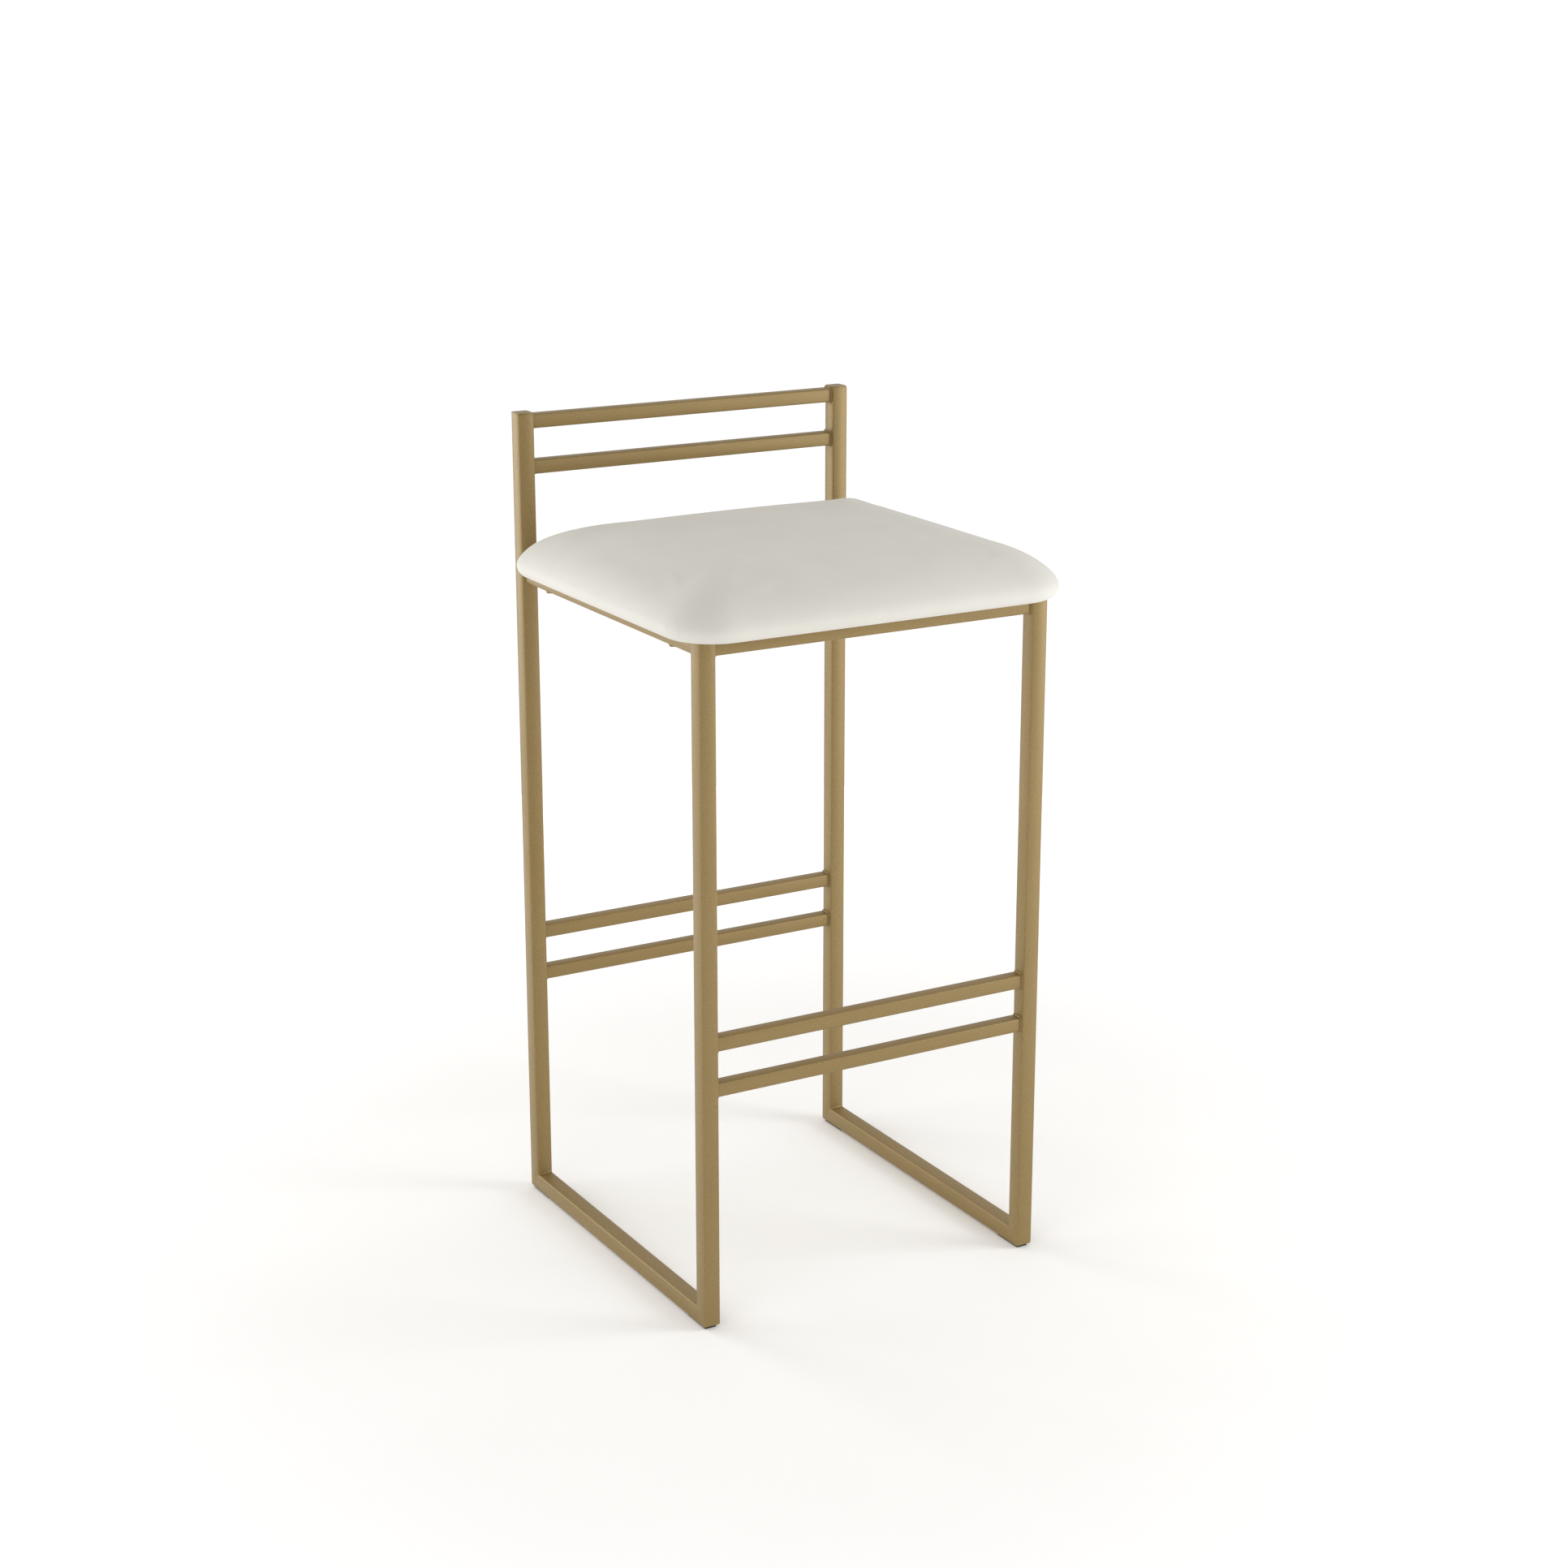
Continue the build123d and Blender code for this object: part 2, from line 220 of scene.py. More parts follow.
def round_edges(
    mesh: bmesh.types.BMesh, edges: Iterable[bmesh.types.BMEdge], radius: float, steps: int
) -> None:
    """Round edges off.

    Args:
        mesh: The bmesh that they are in.
        edges: The edges.
        radius: The round's size.
        steps: How many faces go round it.
    """
    bmesh.ops.bevel(
        mesh,
        geom=list(edges),
        offset=radius,
        offset_type="OFFSET",
        affect="EDGES",
        segments=steps,
        profile=0.5,
        material=-1,
        clamp_overlap=True,
    )


def runs_along(edge: bmesh.types.BMEdge, axis: int) -> bool:
    """Whether an edge is parallel to the axis with that number."""
    way = edge.verts[1].co - edge.verts[0].co
    return abs(way[axis]) > PARALLEL * way.length


# ---------------------------------------------------------------- finishes
@dataclass(frozen=True)
class PowderCoat:
    """Textured metallic powder coat, sprayed on steel and baked.

    Fine bronze and pale flakes lie under a satin skin with a sanded feel, so the colour is
    speckled, flat faces shine softly, and a face seen at a slant goes paler.
    """

    name: str = "champagne_powder_coat"
    flake_mm: float = 1.0  # drawn coarser than the real 0.2 mm, which is too fine to show
    cloud_mm: float = 60.0
    dark: int = 0x806C42
    body: int = 0x90794A
    pale: int = 0x9F8553
    roughness: float = 0.44
    metallic: float = 0.35

    def build(self) -> bpy.types.Material:
        """Make the material.

        Returns:
            The finish of every painted piece.
        """
        made, tree, out = new_material(self.name)
        place = add_node(tree, "ShaderNodeTexCoord").outputs["Object"]
        flakes = add_node(
            tree,
            "ShaderNodeTexNoise",
            {"Vector": place, "Scale": 1 / (self.flake_mm * MM), "Detail": 2.0, "Roughness": 0.7},
        ).outputs["Fac"]
        cloud = add_node(
            tree,
            "ShaderNodeTexNoise",
            {"Vector": place, "Scale": 1 / (self.cloud_mm * MM), "Detail": 3.0},
        ).outputs["Fac"]
        colour = ramp(tree, flakes, ((0.36, self.dark), (0.5, self.body), (0.64, self.pale)))
        tone = add_node(
            tree,
            "ShaderNodeHueSaturation",
            {"Color": colour, "Value": spread_value(tree, cloud, 0.95, 1.05)},
        ).outputs["Color"]
        skin = add_node(
            tree,
            "ShaderNodeBump",
            {"Height": flakes, "Strength": 0.25, "Distance": 0.15 * MM},
        ).outputs["Normal"]
        rough = spread_value(tree, flakes, self.roughness - 0.05, self.roughness + 0.06)
        shader = add_node(
            tree,
            "ShaderNodeBsdfPrincipled",
            {
                "Base Color": tone,
                "Metallic": self.metallic,
                "Roughness": rough,
                "Coat Weight": 0.12,
                "Coat Roughness": 0.35,
                "Normal": skin,
            },
        )
        tree.links.new(shader.outputs[0], out.inputs["Surface"])
        return made


@dataclass(frozen=True)
class SeatVinyl:
    """Off-white upholstery vinyl: PVC skin on a knitted back, embossed with a fine leather grain.

    The grain's pebbles are about a millimetre across and shallow, so the skin looks smooth and
    matt, with a faint sheen where it is seen at a slant.
    """

    name: str = "off_white_vinyl"
    pebble_mm: float = 1.3
    pore_mm: float = 0.6
    cloud_mm: float = 90.0
    low: int = 0xDAD7CF
    high: int = 0xDFDCD5
    roughness: float = 0.58

    def build(self) -> bpy.types.Material:
        """Make the material.

        Returns:
            The finish of the seat's cover.
        """
        made, tree, out = new_material(self.name)
        place = add_node(tree, "ShaderNodeTexCoord").outputs["Object"]
        cloud = add_node(
            tree,
            "ShaderNodeTexNoise",
            {"Vector": place, "Scale": 1 / (self.cloud_mm * MM), "Detail": 4.0},
        ).outputs["Fac"]
        pebbles = add_node(
            tree,
            "ShaderNodeTexVoronoi",
            {"Vector": place, "Scale": 1 / (self.pebble_mm * MM)},
            feature="SMOOTH_F1",
        ).outputs["Distance"]
        pores = add_node(
            tree,
            "ShaderNodeTexNoise",
            {"Vector": place, "Scale": 1 / (self.pore_mm * MM), "Detail": 1.0},
        ).outputs["Fac"]
        grain = add_node(
            tree,
            "ShaderNodeBump",
            {"Height": pebbles, "Strength": 0.12, "Distance": 0.08 * MM},
            invert=True,
        ).outputs["Normal"]
        skin = add_node(
            tree,
            "ShaderNodeBump",
            {"Height": pores, "Strength": 0.06, "Distance": 0.05 * MM, "Normal": grain},
        ).outputs["Normal"]
        rough = spread_value(tree, pores, self.roughness - 0.05, self.roughness + 0.05)
        shader = add_node(
            tree,
            "ShaderNodeBsdfPrincipled",
            {
                "Base Color": ramp(tree, cloud, ((0.3, self.low), (0.7, self.high))),
                "Roughness": rough,
                "IOR": 1.47,
                "Sheen Weight": 0.08,
                "Sheen Roughness": 0.5,
                "Normal": skin,
            },
        )
        tree.links.new(shader.outputs[0], out.inputs["Surface"])
        return made


@dataclass(frozen=True)
class GlidePlastic:
    """Black polyethylene, injection moulded: low gloss, finely sparked, scuffed where it slides."""

    name: str = "black_moulded_polyethylene"
    spark_mm: float = 0.5
    scuff_mm: float = 6.0
    black: int = 0x080808
    scuffed: int = 0x141312

    def build(self) -> bpy.types.Material:
        """Make the material.

        Returns:
            The finish of the floor glides.
        """
        made, tree, out = new_material(self.name)
        place = add_node(tree, "ShaderNodeTexCoord").outputs["Object"]
        spark = add_node(
            tree, "ShaderNodeTexNoise", {"Vector": place, "Scale": 1 / (self.spark_mm * MM)}
        ).outputs["Fac"]
        scuff = add_node(
            tree,
            "ShaderNodeTexNoise",
            {"Vector": place, "Scale": 1 / (self.scuff_mm * MM), "Detail": 5.0},
        ).outputs["Fac"]
        skin = add_node(
            tree,
            "ShaderNodeBump",
            {"Height": spark, "Strength": 0.3, "Distance": 0.05 * MM},
        ).outputs["Normal"]
        shader = add_node(
            tree,
            "ShaderNodeBsdfPrincipled",
            {
                "Base Color": ramp(tree, scuff, ((0.45, self.black), (0.75, self.scuffed))),
                "Roughness": spread_value(tree, scuff, 0.5, 0.7),
                "IOR": 1.51,
                "Specular IOR Level": 0.2,
                "Normal": skin,
            },
        )
        tree.links.new(shader.outputs[0], out.inputs["Surface"])
        return made


@dataclass(frozen=True)
class Plywood:
    """Bare rotary-cut birch plywood: pale face veneer with a long wavy grain along X."""

    name: str = "bare_birch_plywood"
    figure_mm: float = 14.0
    fibre_mm: float = 1.2
    stretch: float = 9.0  # how much longer the figure runs with the grain than across it
    early: int = 0xD3B88C
    late: int = 0xB8976A

    def build(self) -> bpy.types.Material:
        """Make the material.

        Returns:
            The finish of the seat board.
        """
        made, tree, out = new_material(self.name)
        place = add_node(tree, "ShaderNodeTexCoord").outputs["Object"]
        drawn = add_node(
            tree, "ShaderNodeMapping", {"Vector": place, "Scale": (1 / self.stretch, 1.0, 1.0)}
        ).outputs["Vector"]
        figure = add_node(
            tree,
            "ShaderNodeTexNoise",
            {"Vector": drawn, "Scale": 1 / (self.figure_mm * MM), "Detail": 4.0, "Distortion": 1.2},
        ).outputs["Fac"]
        fibre = add_node(
            tree,
            "ShaderNodeTexNoise",
            {"Vector": drawn, "Scale": 1 / (self.fibre_mm * MM), "Detail": 3.0},
        ).outputs["Fac"]
        both = add_node(
            tree, "ShaderNodeMath", {0: figure, 1: fibre}, operation="MULTIPLY_ADD"
        )
        both.inputs[2].default_value = 0.25
        skin = add_node(
            tree,
            "ShaderNodeBump",
            {"Height": fibre, "Strength": 0.3, "Distance": 0.1 * MM},
        ).outputs["Normal"]
        colour = ramp(tree, both.outputs[0], ((0.40, self.early), (0.62, self.late)))
        shader = add_node(
            tree,
            "ShaderNodeBsdfPrincipled",
            {"Base Color": colour, "Roughness": 0.68, "Normal": skin},
        )
        tree.links.new(shader.outputs[0], out.inputs["Surface"])
        return made


@dataclass(frozen=True)
class ZincPlate:
    """Zinc plate on steel: satin and slightly cloudy, cool grey when clear, straw when yellow."""

    name: str = "clear_zinc_plated_steel"
    bloom_mm: float = 2.5
    bright: int = 0xC9CCD0
    dull: int = 0xA6A9AD
    roughness: float = 0.32

    def build(self) -> bpy.types.Material:
        """Make the material.

        Returns:
            The finish of the screws, washers, nuts and staples.
        """
        made, tree, out = new_material(self.name)
        place = add_node(tree, "ShaderNodeTexCoord").outputs["Object"]
        bloom = add_node(
            tree,
            "ShaderNodeTexNoise",
            {"Vector": place, "Scale": 1 / (self.bloom_mm * MM), "Detail": 4.0},
        ).outputs["Fac"]
        shader = add_node(
            tree,
            "ShaderNodeBsdfPrincipled",
            {
                "Base Color": ramp(tree, bloom, ((0.35, self.dull), (0.65, self.bright))),
                "Metallic": 1.0,
                "Roughness": spread_value(tree, bloom, self.roughness - 0.08, self.roughness + 0.1),
            },
        )
        tree.links.new(shader.outputs[0], out.inputs["Surface"])
        return made


# ---------------------------------------------------------------- frame
@dataclass
class SteelFrame:
    """The two side frames, their caps, and the bars and rails that join them."""

    coat: bpy.types.Material
    tube_corner: float = 2.3 * MM
    bar_corner: float = 2.0 * MM
    bend_round: float = 3.5 * MM
    weld_round: float = 1.6 * MM  # fillet of the ground weld inside a side frame's corners
    corner_steps: int = 2
    bend_steps: int = 5

    BARS = (
        "upper_back_bar",
        "lower_back_bar",
        "upper_rear_stretcher",
        "lower_rear_stretcher",
        "upper_footrest_bar",
        "lower_footrest_bar",
        "front_seat_rail",
        "rear_seat_rail",
    )

    def build(self) -> None:
        """Make every painted tube and cap."""
        for side in Side:
            self.side_frame(side)
            self.post_cap(side)
            self.square_bar(f"{side.word}_seat_rail", 1)
        for bar in self.BARS:
            self.square_bar(bar, 0)

    def side_frame(self, side: Side) -> None:
        """Make one side frame: leg, floor rail and post, mitred, welded and ground flush.

        Args:
            side: Which of the two.
        """
        nodes = [f"{side.word}_{part}" for part in ("front_leg", "floor_rail", "rear_post")]
        (leg_low, leg_high), (rail_low, rail_high), (post_low, post_high) = map(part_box, nodes)
        tube = leg_high.x - leg_low.x
        sill = rail_low.z + tube
        outline = (
            (leg_low.y, leg_high.z),
            (leg_low.y, rail_low.z),
            (rail_high.y, rail_low.z),
            (rail_high.y, post_high.z),
            (rail_high.y - tube, post_high.z),
            (rail_high.y - tube, sill),
            (leg_low.y + tube, sill),
            (leg_low.y + tube, leg_high.z),
        )
        mesh = bmesh.new()
        ring = [mesh.verts.new((leg_low.x, y, z)) for y, z in outline]
        face = mesh.faces.new(ring)
        grown = bmesh.ops.extrude_face_region(mesh, geom=[face], use_keep_orig=True)["geom"]
        moved = [g for g in grown if isinstance(g, bmesh.types.BMVert)]
        bmesh.ops.translate(mesh, verts=moved, vec=(tube, 0, 0))
        bmesh.ops.recalc_face_normals(mesh, faces=mesh.faces)

        def corners(height: float) -> list[bmesh.types.BMEdge]:
            """The edges across the tube at that height, at both ends of the floor rail."""
            found = []
            for edge in mesh.edges:
                if runs_along(edge, 0) and abs(edge.verts[0].co.z - height) < 10 * SAME:
                    found.append(edge)
            return found

        round_edges(mesh, corners(rail_low.z), self.bend_round, self.bend_steps)
        round_edges(mesh, corners(sill), self.weld_round, self.bend_steps)
        tops = (leg_high.z, post_high.z)
        long_edges = [
            edge
            for edge in mesh.edges
            if abs(edge.verts[0].co.x - edge.verts[1].co.x) < SAME
            and not any(all(abs(v.co.z - top) < SAME for v in edge.verts) for top in tops)
        ]
        round_edges(mesh, long_edges, self.tube_corner, self.corner_steps)
        self.sharpen(mesh, 2)
        piece = put_up(f"{side.word}_side_frame", mesh)
        hand_over(piece, self.coat, nodes)

    def square_bar(self, node: str, axis: int) -> None:
        """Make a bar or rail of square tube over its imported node.

        Args:
            node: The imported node's name.
            axis: The number of the axis that it runs along.
        """
        mesh = self.block(*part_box(node))
        long_edges = [edge for edge in mesh.edges if runs_along(edge, axis)]
        round_edges(mesh, long_edges, self.bar_corner, self.corner_steps)
        self.sharpen(mesh, axis)
        hand_over(put_up(f"{node}_tube", mesh), self.coat, [node])

    def post_cap(self, side: Side) -> None:
        """Make the flat plate welded over a rear post's end.

        Args:
            side: Which post.
        """
        node = f"{side.word}_post_cap"
        mesh = self.block(*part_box(node))
        upright = [edge for edge in mesh.edges if runs_along(edge, 2)]
        round_edges(mesh, upright, self.tube_corner, self.corner_steps)
        self.sharpen(mesh, 2)
        hand_over(put_up(f"{side.word}_cap_plate", mesh), self.coat, [node])

    @staticmethod
    def block(low: Vector, high: Vector) -> bmesh.types.BMesh:
        """A bmesh that holds one box between two corners."""
        mesh = bmesh.new()
        bmesh.ops.create_cube(mesh, size=1.0)
        bmesh.ops.scale(mesh, vec=high - low, verts=mesh.verts)
        bmesh.ops.translate(mesh, vec=(low + high) / 2, verts=mesh.verts)
        return mesh

    @staticmethod
    def sharpen(mesh: bmesh.types.BMesh, axis: int) -> None:
        """Keep the edges of the end faces, which look along an axis, crisp.

        Args:
            mesh: The tube.
            axis: The number of the axis that its ends look along.
        """
        mesh.normal_update()
        for face in mesh.faces:
            if abs(face.normal[axis]) > PARALLEL and len(face.verts) > 4:
                for edge in face.edges:
                    edge.smooth = False


@dataclass
class WeldBeads:
    """The beads where the bars and rails meet the side frames."""

    coat: bpy.types.Material
    radius: float = 1.3 * MM
    sunk: float = 0.35 * MM  # how far the bead's axis stands off both faces that it joins
    corner: float = 2.0 * MM
    step: float = 0.6 * MM  # along the bead
    ripple: float = 0.12 * MM
    ripple_pitch: float = 1.6 * MM
    uneven: float = 0.1 * MM  # how much its size wanders besides the ripple
    wander: float = 400.0  # how finely, per metre
    bend_steps: int = 4  # round each corner of a bar
    sides: int = 8  # of the bead's own section

    CROSS_BARS = {
        "back_bar_welds": ("upper_back_bar", "lower_back_bar"),
        "stretcher_welds": ("upper_rear_stretcher", "lower_rear_stretcher"),
        "footrest_welds": ("upper_footrest_bar", "lower_footrest_bar"),
        "seat_rail_welds": ("front_seat_rail", "rear_seat_rail"),
    }

    def build(self) -> None:
        """Make one piece for each packed group of beads."""
        for group, bars in self.CROSS_BARS.items():
            under_seat = group == "seat_rail_welds"
            mesh = bmesh.new()
            for bar in bars:
                low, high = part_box(bar)
                for end in Side:
                    outward = Vector((end.value, 0, 0))
                    self.joint(mesh, low, high, outward, Vector((0, -1, 0)), under_seat)
            if under_seat:
                for side in Side:
                    low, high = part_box(f"{side.word}_seat_rail")
                    open_side = Vector((side.value, 0, 0))
                    for way in (-1, 1):
                        self.joint(mesh, low, high, Vector((0, way, 0)), open_side, True)
            piece = put_up(f"{group}_beads", mesh)
            hand_over(piece, self.coat, [group])

    def joint(
        self,
        mesh: bmesh.types.BMesh,
        low: Vector,
        high: Vector,
        outward: Vector,
        open_side: Vector,
        under_seat: bool,
    ) -> None:
        """Add the bead round one end of a bar, on the sides that stand back from its leg's faces.

        Args:
            mesh: The bmesh that it joins.
            low: The bar's lowest corner.
            high: The bar's highest corner.
            outward: The way out of the bar at that end.
            open_side: The way from the side where bar and leg are flush to the side across.
            under_seat: Whether the seat lies on the bar, which leaves its top bare.
        """
        middle, half = (low + high) / 2, (high.z - low.z) / 2
        root = middle + outward * (abs(outward.dot(high - low)) / 2 - self.sunk)
        reach, turn = half + self.sunk, self.corner + self.sunk
        flush = self.corner - half

        def spot(across: float, up: float) -> Vector:
            """A point round the bar's axis."""
            return root + open_side * across + Vector((0, 0, up))

        def bend(up: float, start: int) -> list[Vector]:
            """Points round a corner, a quarter turn down from the angle start."""
            steps = range(self.bend_steps + 1)
            turned = [math.radians(start - 90 * k / self.bend_steps) for k in steps]
            across = reach - turn
            return [spot(across + turn * math.cos(t), up + turn * math.sin(t)) for t in turned]

        over = [spot(reach, reach - turn)]
        if not under_seat:
            over = [spot(flush, reach), *bend(reach - turn, 90)]
        self.bead(mesh, [*over, *bend(turn - reach, 0), spot(flush, -reach)], outward)

    def bead(self, mesh: bmesh.types.BMesh, path: list[Vector], aside: Vector) -> None:
        """Add one bead: a rippled round ridge along a line, with closed ends.

        Args:
            mesh: The bmesh that it joins.
            path: The corners of its line.
            aside: The way across the plane that the line lies in.
        """
        spots: list[Vector] = []
        for start, end in zip(path, path[1:]):
            count = max(1, round((end - start).length / self.step))
            spots += [start.lerp(end, k / count) for k in range(count)]
        spots.append(path[-1])
        rings = []
        for index, spot in enumerate(spots):
            ahead = spots[min(index + 1, len(spots) - 1)] - spots[max(index - 1, 0)]
            up = ahead.normalized().cross(aside)
            wave = math.sin(2 * math.pi * index * self.step / self.ripple_pitch)
            size = self.radius + self.ripple * wave + self.uneven * noise.noise(spot * self.wander)
            turns = [math.radians(360 * k / self.sides) for k in range(self.sides)]
            ways = [math.cos(t) * aside + math.sin(t) * up for t in turns]
            rings.append([mesh.verts.new(spot + size * way) for way in ways])
        for one, two in zip(rings, rings[1:]):
            for k in range(self.sides):
                after = (k + 1) % self.sides
                mesh.faces.new((one[k], one[after], two[after], two[k]))
        mesh.faces.new(rings[0])
        mesh.faces.new(rings[-1])
        bmesh.ops.recalc_face_normals(mesh, faces=mesh.faces)


# ---------------------------------------------------------------- seat
@dataclass
class SeatCushion:
    """The padded seat: vinyl pulled over foam and stapled under the board."""

    vinyl: bpy.types.Material
    front_round: float = 55.0 * MM
    back_round: float = 30.0 * MM
    front_fold: float = 20.0 * MM  # radius that the corners tighten to, towards the crown
    back_fold: float = 6.0 * MM
    foot_round: float = 11.0 * MM  # how far the skin draws in under its widest line
    foot_height: float = 13.0 * MM
    roll: float = 88.0 * MM  # width of the roll from the widest line to the top
    roll_rise: float = 48.6 * MM
    shoulder: float = 1.5  # how soon the roll levels off towards the top; higher is sooner
    nose: float = 1.6  # how blunt the roll is at the widest line; 2 is round
    crown: float = 4.9 * MM
    crown_power: float = 2.5  # how flat the crown's middle is; 2 is round
    foot_steps: int = 5
    roll_shares: tuple[float, ...] = (
        0.006, 0.02, 0.04, 0.07, 0.11, 0.17, 0.25, 0.35, 0.46, 0.58, 0.72, 0.86, 1.0,
    )  # fmt: skip
    corner_points: int = 13
    voxel: float = 5.0 * MM
    pressure: float = 4.0
    stiffness: float = 60.0
    frames: int = 20
    held_above: float = 2.0 * MM  # the cover is held up to this far over its widest line
    slack: float = 0.6 * MM  # how much smaller the sewn shape is than the filled one
    most_swell: float = 1.4 * MM
    hem: float = 33.0 * MM  # widest line to the hem's raw edge, under the seat
    pocket: float = 12.5 * MM  # room for the board above the hem
    foam_gap: float = 1.0 * MM  # clearance above the board
    hem_lift: float = 0.2 * MM  # hem off its lowest plane
    underside: float = 2.0 * MM  # what lies lower than this is the underside

    def build(self) -> None:
        """Sew, fill and dress the cushion."""
        self.low, self.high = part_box("seat_cover")
        self.middle = (self.low + self.high) / 2
        drafted = self.drafted()
        piece = self.remeshed(drafted)
        self.fill_out(piece)
        self.tuck_under(piece)
        smooth = piece.modifiers.new("smooth_skin", "SUBSURF")
        smooth.levels = smooth.render_levels = 1
        hand_over(piece, self.vinyl, ["seat_cover", "seat_foam"])

    @staticmethod
    def corner(widest: float, fold: float, inset: float) -> float:
        """A corner's radius, drawn in by an inset: it tightens, but never below its fold.

        Args:
            widest: Its radius on the widest line.
            fold: The least that it comes to.
            inset: How far in from the widest line.

        Returns:
            The radius there.
        """
        spare = widest - inset - fold
        return fold + (spare + math.hypot(spare, fold)) / 2

    def outline(self, inset: float) -> list[tuple[float, float]]:
        """Points round the seat's outline, drawn in by an inset.

        Args:
            inset: How far in from the widest line.

        Returns:
            The points, anticlockwise from the right side, as many on each corner.
        """
        half_x = (self.high.x - self.low.x) / 2 - inset
        low_y, high_y = self.low.y + inset, self.high.y - inset
        front = self.corner(self.front_round, self.front_fold, inset)
        back = self.corner(self.back_round, self.back_fold, inset)
        arcs = (
            (half_x - back, high_y - back, back, 0),
            (-half_x + back, high_y - back, back, 90),
            (-half_x + front, low_y + front, front, 180),
            (half_x - front, low_y + front, front, 270),
        )
        points = []
        for x, y, radius, start in arcs:
            for k in range(self.corner_points):
                angle = math.radians(start + 90 * k / (self.corner_points - 1))
                points.append((x + radius * math.cos(angle), y + radius * math.sin(angle)))
        return points

    def stations(self) -> list[tuple[float, float]]:
        """The skin from its foot to its top: for each station, its inset and height."""
        widest = self.low.z + self.foot_height
        made = []
        for k in range(self.foot_steps + 1):
            angle = math.radians(90 * k / self.foot_steps)
            inset = self.foot_round * (1 - math.sin(angle))
            made.append((inset, widest - self.foot_height * math.cos(angle)))
        for share in self.roll_shares:
            made.append((share * self.roll, widest + self.rise(share)))
        return made

    def rise(self, share: float) -> float:
        """How high the roll stands above the widest line, a share of its width in."""
        return self.roll_rise * (1 - (1 - share) ** self.shoulder) ** (1 / self.nose)

    def drafted(self) -> bmesh.types.BMesh:
        """The cushion's closed shape before it is filled, a little smaller than it ends up."""
        mesh = bmesh.new()
        rings = []
        for inset, height in self.stations():
            above = (height - self.low.z - self.foot_height) / self.roll_rise
            shrink = self.slack * min(1.0, max(0.0, 2 * above))
            spots = self.outline(inset + shrink)
            rings.append([mesh.verts.new((x, y, height - shrink)) for x, y in spots])
        for one, two in zip(rings, rings[1:]):
            for k in range(len(one)):
                after = (k + 1) % len(one)
                mesh.faces.new((one[k], one[after], two[after], two[k]))
        mesh.faces.new(rings[0])
        mesh.faces.new(rings[-1])
        bmesh.ops.recalc_face_normals(mesh, faces=mesh.faces)
        return mesh

    def remeshed(self, drafted: bmesh.types.BMesh) -> bpy.types.Object:
        """Cover the drafted shape in an even mesh and raise its crown.

        Args:
            drafted: The closed shape.

        Returns:
            The cushion's object.
        """
        rough = put_up("drafted_cushion", drafted)
        even = rough.modifiers.new("even_mesh", "REMESH")
        even.mode = "VOXEL"
        even.voxel_size = self.voxel
        even.use_smooth_shade = True
        form = rough.copy()
        form.data = rough.data.copy()
        form.modifiers.clear()
        bpy.context.scene.collection.objects.link(form)
        close = rough.modifiers.new("close_to_form", "SHRINKWRAP")
        close.target = form
        seen = rough.evaluated_get(bpy.context.evaluated_depsgraph_get())
        data = bpy.data.meshes.new_from_object(seen)
        data.name = "seat_cushion"
        bpy.data.objects.remove(rough)
        bpy.data.objects.remove(form)
        piece = bpy.data.objects.new("seat_cushion", data)
        bpy.context.scene.collection.objects.link(piece)
        half = (self.high - self.low) / 2
        for vertex in data.vertices:
            if vertex.co.z > self.low.z + self.foot_height:
                across = min(1.0, abs(vertex.co.x - self.middle.x) / half.x)
                along = min(1.0, abs(vertex.co.y - self.middle.y) / half.y)
                flat = (1 - across**self.crown_power) * (1 - along**self.crown_power)
                vertex.co.z += self.crown * flat
        return piece

    def fill_out(self, piece: bpy.types.Object) -> None:
        """Let the foam push the cover out, as cloth under pressure, and keep the result.

        Args:
            piece: The cushion, which takes the new shape.
        """
        rest = [vertex.co.copy() for vertex in piece.data.vertices]
        held = piece.vertex_groups.new(name="stapled")
        level = self.low.z + self.foot_height + self.held_above
        held.add([v.index for v in piece.data.vertices if v.co.z < level], 1.0, "ADD")
        cloth = piece.modifiers.new("cover", "CLOTH")
        cloth.settings.quality = 5
        cloth.settings.use_pressure = True
        cloth.settings.uniform_pressure_force = self.pressure
        cloth.settings.effector_weights.gravity = 0.0
        cloth.settings.tension_stiffness = self.stiffness
        cloth.settings.compression_stiffness = self.stiffness
        cloth.settings.shear_stiffness = self.stiffness
        cloth.settings.bending_stiffness = self.stiffness / 4
        cloth.settings.vertex_group_mass = held.name
        cloth.collision_settings.use_collision = False
        cloth.point_cache.frame_start = 1
        cloth.point_cache.frame_end = self.frames
        scene = bpy.context.scene
        for number in range(1, self.frames + 1):
            scene.frame_set(number)
        seen = piece.evaluated_get(bpy.context.evaluated_depsgraph_get())
        filled = [vertex.co.copy() for vertex in seen.data.vertices]
        piece.modifiers.remove(cloth)
        piece.vertex_groups.clear()
        scene.frame_set(1)
        furthest = 0.0
        for vertex, start, end in zip(piece.data.vertices, rest, filled):
            way = end - start
            furthest = max(furthest, way.length)
            if way.length > self.most_swell:
                way *= self.most_swell / way.length
            vertex.co = start + way
        log.info("the cover swells %.1f mm before its limit", furthest / MM)

    def depth_in(self, x: float, y: float) -> float:
        """How far a point lies inside the seat's widest outline.

        Args:
            x: Its place across.
            y: Its place along.

        Returns:
            The distance in to the outline, negative outside it.
        """
        radius = self.front_round if y < self.middle.y else self.back_round
        half_x, half_y = (self.high.x - self.low.x) / 2, (self.high.y - self.low.y) / 2
        over_x = abs(x - self.middle.x) - (half_x - radius)
        over_y = abs(y - self.middle.y) - (half_y - radius)
        outside = math.hypot(max(over_x, 0.0), max(over_y, 0.0))
        return radius - outside - min(max(over_x, over_y), 0.0)

